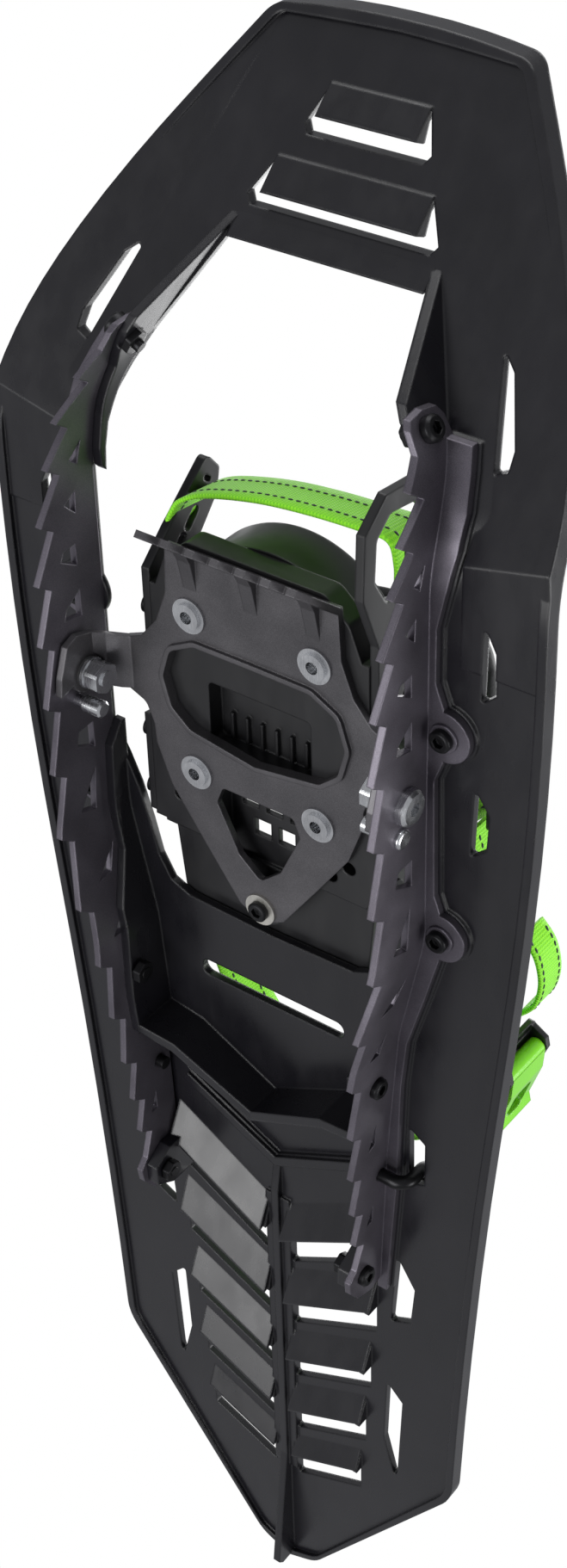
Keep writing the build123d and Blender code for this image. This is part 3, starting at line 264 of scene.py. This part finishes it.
LOOKS = {
    DECK: ["deck"],
    STEEL: ["rail_left", "rail_right", "flange_washers"],
    PLATE: ["crampon_plate"],
    OXIDE: ["rail_screws", "rail_nuts", "flange_screws", "rear_screw", "side_arm_screws",
            "heel_lift_bar"],
    BRIGHT: ["flange_nuts", "pivot_bolts", "pivot_washers", "pivot_nuts", "stop_pins",
             "plate_rivets", "rivet_washers", "rear_nut", "instep_buckle_pin", "heel_buckle_pin"],
    CREAM: ["rear_washer"],
    BLACK: ["binding_base", "toe_cradle", "toe_lug", "toe_loop", "side_arm_left",
            "side_arm_right", "instep_buckle", "instep_lever", "heel_buckle"],
    RUBBER: ["foot_pad"],
    LEVER: ["heel_lever"],
    NYLON: ["pivot_bushings"],
}
for material, names in LOOKS.items():
    for name in names:
        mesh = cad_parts[name].data
        mesh.materials.clear()
        mesh.materials.append(material)


# ------------------------------------------------------------------ webbing
WEBBING_WIDTH = 0.020
TAIL_WIDTH = 0.014
WEBBING_THICK = 0.0016
STITCH_ROW = 0.0050
STITCH_MARGIN = 0.004
STITCH_PITCH = 0.0030
STITCH_SIZE = (0.00062, 0.00122, 0.00035)
STITCH_SLANT = 0.16


def smooth_path(points, steps=10):
    """Catmull-Rom line through the points."""
    out = []
    n = len(points)
    for i in range(n - 1):
        p0, p1 = points[max(i - 1, 0)], points[i]
        p2, p3 = points[i + 1], points[min(i + 2, n - 1)]
        for s in range(steps):
            t = s / steps
            out.append(0.5 * ((2 * p1) + (p2 - p0) * t + (2 * p0 - 5 * p1 + 4 * p2 - p3) * t * t
                              + (3 * p1 - p0 - 3 * p2 + p3) * t ** 3))
    out.append(points[-1].copy())
    return out


def ribbon(name, points, width, across):
    """Flat webbing with rounded selvedges along a line; across(part of the line) is its width's way."""
    line = smooth_path(points)
    n = len(line)
    half, t2 = width / 2, WEBBING_THICK / 2
    section = [(-half, 0), (-half + t2 * 0.5, t2), (-half * 0.5, t2), (0, t2), (half * 0.5, t2),
               (half - t2 * 0.5, t2), (half, 0), (half - t2 * 0.5, -t2), (half * 0.5, -t2), (0, -t2),
               (-half * 0.5, -t2), (-half + t2 * 0.5, -t2)]
    bm = bmesh.new()
    uv = bm.loops.layers.uv.new("UVMap")
    rings = []
    length = 0.0
    frames = []
    for i, p in enumerate(line):
        tangent = (line[min(i + 1, n - 1)] - line[max(i - 1, 0)]).normalized()
        w = Vector(across(i / (n - 1)))
        w = (w - tangent * w.dot(tangent)).normalized()
        normal = tangent.cross(w).normalized()
        if i:
            length += (p - line[i - 1]).length
        rings.append(([bm.verts.new(p + w * a + normal * b) for a, b in section], length))
        frames.append((p, w, normal, length))
    k = len(section)
    us = [a * 1000 for a, b in section]
    for (r0, l0), (r1, l1) in zip(rings, rings[1:]):
        for j in range(k):
            f = bm.faces.new((r0[j], r0[(j + 1) % k], r1[(j + 1) % k], r1[j]))
            f.smooth = True
            for loop, u, v in zip(f.loops, (us[j], us[(j + 1) % k], us[(j + 1) % k], us[j]),
                                  (l0, l0, l1, l1)):
                loop[uv].uv = (u, v * 1000)
    for r in (rings[0][0], rings[-1][0]):
        f = bm.faces.new(r)
        for loop, u in zip(f.loops, us):
            loop[uv].uv = (u, 0)
    bmesh.ops.recalc_face_normals(bm, faces=bm.faces)
    return finish_mesh(name, bm, LIME), frames


def finish_mesh(name, bm, material):
    """An object of the mesh, with its material in its material slot, linked to the scene."""
    mesh = bpy.data.meshes.new(name)
    bm.to_mesh(mesh)
    bm.free()
    mesh.materials.append(material)
    obj = bpy.data.objects.new(name, mesh)
    bpy.context.scene.collection.objects.link(obj)
    return obj


def stitches(name, frames):
    """Rows of raised thread stitches on both faces of a ribbon."""
    bm = bmesh.new()
    total = frames[-1][3]
    for off in (-STITCH_ROW, STITCH_ROW):
        at = STITCH_MARGIN
        i = 0
        while at < total - STITCH_MARGIN:
            while frames[i + 1][3] < at:
                i += 1
            p0, w0, n0, l0 = frames[i]
            p1, w1, n1, l1 = frames[i + 1]
            f = (at - l0) / max(l1 - l0, 1e-9)
            p, w, nn = p0.lerp(p1, f), w0.lerp(w1, f).normalized(), n0.lerp(n1, f).normalized()
            tg = (p1 - p0).normalized()
            for face in (1, -1):
                c = p + w * off + nn * face * (WEBBING_THICK / 2)
                rot = Matrix((w, tg, nn)).transposed().to_4x4()
                slant = Matrix.Rotation(STITCH_SLANT * face, 4, "Z")
                m = Matrix.Translation(c) @ rot @ slant @ Matrix.Diagonal((*STITCH_SIZE, 1))
                bmesh.ops.create_icosphere(bm, subdivisions=1, radius=1.0, matrix=m)
            at += STITCH_PITCH
    for f in bm.faces:
        f.smooth = True
    return finish_mesh(name, bm, THREAD)


def strap(name, points, across, replaced, width=WEBBING_WIDTH):
    """Webbing band and its two rows of stitches, riding on the binding for a CAD strap."""
    band, frames = ribbon(name, points, width, across)
    rows = stitches(name + "_stitches", frames)
    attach(band, "binding")
    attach(rows, "binding")
    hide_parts(replaced)


def upright(lean):
    """Width direction that leans by a fixed amount towards +y."""
    return lambda f: (0.0, lean, 1.0)


strap("toe_webbing", [P(46, 50, 21), P(43.5, 56, 21.5), P(40, 60.5, 22), P(30, 65.5, 22),
                      P(10, 70.5, 22), P(-10, 73, 22), P(-30, 74, 22), P(-40, 73.5, 22),
                      P(-43, 66, 22), P(-43, 55, 22)], upright(-0.13), "toe_strap")
strap("heel_webbing", [P(52, -50, 52), P(58, -70, 52), P(63, -110, 52), P(61, -160, 52), P(36, -202, 52),
                       P(0, -212, 52), P(-36, -202, 52), P(-61, -160, 52), P(-63, -110, 52),
                       P(-58, -70, 52), P(-52, -50, 52)], upright(0.0), "heel_strap")
strap("instep_webbing", [P(51, -37, 40), P(53.5, -37, 58), P(46, -37, 78), P(28, -37, 93),
                         P(0, -37, 98), P(-28, -37, 93), P(-46, -37, 78), P(-53.5, -37, 58),
                         P(-51, -37, 40)], lambda f: (0, 1, 0), "instep_strap")
strap("tail_webbing", [P(-64.6, -101, 66), P(-70.5, -108, 66), P(-73, -119, 66), P(-71, -130, 66),
                       P(-65.5, -137, 66)], upright(0.0), "strap_tail", TAIL_WIDTH)


# ------------------------------------------------------------------ instep pad
PAD_ROWS = 28
PAD_STEPS = 9
PAD_FRONT = -2.0
PAD_LENGTH = 68.0
PAD_EDGE = 0.6
PAD_CROWN = 3.1
PAD_BELLY = 2.3


def instep_pad():
    """Crowned padded arch with a piped border, under the instep strap."""
    bm = bmesh.new()
    nv = PAD_ROWS
    profile = smooth_path([Vector((42.5, 70, 0)), Vector((26, 86, 0)), Vector((0, 91.5, 0)),
                           Vector((-26, 86, 0)), Vector((-42.5, 70, 0))],
                          PAD_STEPS)
    nu = len(profile) - 1
    tops, bottoms = [], []
    for i, c in enumerate(profile):
        tg = (profile[min(i + 1, nu)] - profile[max(i - 1, 0)]).normalized()
        normal = Vector((tg.y, -tg.x, 0))
        if normal.y < 0:
            normal.negate()
        fu = i / nu
        edge_u = 1 - abs(2 * fu - 1) ** 6
        trow, brow = [], []
        for j in range(nv + 1):
            fv = j / nv
            edge_v = 1 - abs(2 * fv - 1) ** 6
            crown = max(edge_u * edge_v, 0.0) ** 0.5
            channel = 0.9 - 0.28 * math.exp(-((fv - 0.5) / 0.05) ** 2)
            thick = PAD_EDGE + PAD_CROWN * crown * channel
            shrink = 1 - 0.04 * (1 - edge_u)
            y = PAD_FRONT - PAD_LENGTH * (0.5 + (fv - 0.5) * shrink)
            top = c + normal * thick
            low = c - normal * (PAD_EDGE + PAD_BELLY * crown)
            trow.append(bm.verts.new(P(top.x, y, top.y)))
            brow.append(bm.verts.new(P(low.x, y, low.y)))
        tops.append(trow)
        bottoms.append(brow)
    for grid, flip in ((tops, False), (bottoms, True)):
        for i in range(nu):
            for j in range(nv):
                q = (grid[i][j], grid[i + 1][j], grid[i + 1][j + 1], grid[i][j + 1])
                bm.faces.new(q[::-1] if flip else q)
    rims = []
    for grid in (tops, bottoms):
        rims.append([grid[i][0] for i in range(nu + 1)] + [grid[nu][j] for j in range(1, nv + 1)]
                    + [grid[i][nv] for i in range(nu - 1, -1, -1)]
                    + [grid[0][j] for j in range(nv - 1, 0, -1)])
    rim_t, rim_b = rims
    for a in range(len(rim_t)):
        b = (a + 1) % len(rim_t)
        bm.faces.new((rim_t[a], rim_b[a], rim_b[b], rim_t[b]))
    for f in bm.faces:
        f.smooth = True
    bmesh.ops.recalc_face_normals(bm, faces=bm.faces)
    pad = finish_mesh("instep_cushion", bm, PAD)
    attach(pad, "binding")
    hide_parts("instep_pad")


instep_pad()


# ------------------------------------------------------------------ stage and light
def one_sided(name, colour):
    """Floor seen only from above, so it never hides the sole from a camera below it."""
    m, t, bsdf = new_material(name)
    out = [n for n in t.nodes if n.type == "OUTPUT_MATERIAL"][0]
    geo = t.nodes.new("ShaderNodeNewGeometry")
    clear = t.nodes.new("ShaderNodeBsdfTransparent")
    switch = t.nodes.new("ShaderNodeMixShader")
    t.links.new(geo.outputs["Backfacing"], switch.inputs["Fac"])
    t.links.new(bsdf.outputs["BSDF"], switch.inputs[1])
    t.links.new(clear.outputs["BSDF"], switch.inputs[2])
    t.links.new(switch.outputs["Shader"], out.inputs["Surface"])
    grain = noise(t, coords(t), 6, 3)
    shade = tuple(c * 0.97 for c in colour)
    t.links.new(ramp(t, grain, [(0.3, shade), (0.7, colour)]), bsdf.inputs["Base Color"])
    bsdf.inputs["Roughness"].default_value = 0.9
    return m


bm = bmesh.new()
bmesh.ops.create_grid(bm, x_segments=1, y_segments=1, size=6.0)
floor = finish_mesh("floor", bm, one_sided("floor_pale", (0.9, 0.9, 0.9)))
floor.location = (0, 0, -0.0005)
floor.visible_diffuse = False
floor.visible_glossy = False
floor.visible_transmission = False
floor.visible_shadow = False

world = bpy.data.worlds.new("studio")
bpy.context.scene.world = world
world.use_nodes = True
wt = world.node_tree
wt.nodes.clear()
w_out = wt.nodes.new("ShaderNodeOutputWorld")
w_back = wt.nodes.new("ShaderNodeBackground")
w_soft = wt.nodes.new("ShaderNodeBackground")
w_mix = wt.nodes.new("ShaderNodeMixShader")
w_path = wt.nodes.new("ShaderNodeLightPath")
w_back.inputs["Color"].default_value = (1, 1, 1, 1)
w_back.inputs["Strength"].default_value = 1.0
w_soft.inputs["Color"].default_value = (0.95, 0.96, 1.0, 1)
w_soft.inputs["Strength"].default_value = 0.42
wt.links.new(w_path.outputs["Is Camera Ray"], w_mix.inputs["Fac"])
wt.links.new(w_soft.outputs["Background"], w_mix.inputs[1])
wt.links.new(w_back.outputs["Background"], w_mix.inputs[2])
wt.links.new(w_mix.outputs["Shader"], w_out.inputs["Surface"])


def area(name, at, aim, size, power):
    """Soft rectangular light at a point, turned to another."""
    light = bpy.data.lights.new(name, "AREA")
    light.shape = "RECTANGLE"
    light.size, light.size_y = size
    light.energy = power
    obj = bpy.data.objects.new(name, light)
    bpy.context.scene.collection.objects.link(obj)
    obj.location = at
    obj.rotation_mode = "QUATERNION"
    obj.rotation_quaternion = (Vector(aim) - Vector(at)).to_track_quat("-Z", "Y")


area("under", (0.15, 0.1, -1.5), (0, 0, 0), (0.9, 1.3), 20)
area("left", (-1.5, -0.3, 0.3), (0, 0, 0.03), (0.8, 1.6), 24)
area("top", (0.3, -0.3, 1.6), (0, 0, 0.05), (1.6, 1.6), 30)
area("toe", (0.2, 1.6, 0.4), (0, 0.1, 0.03), (1.4, 0.9), 14)
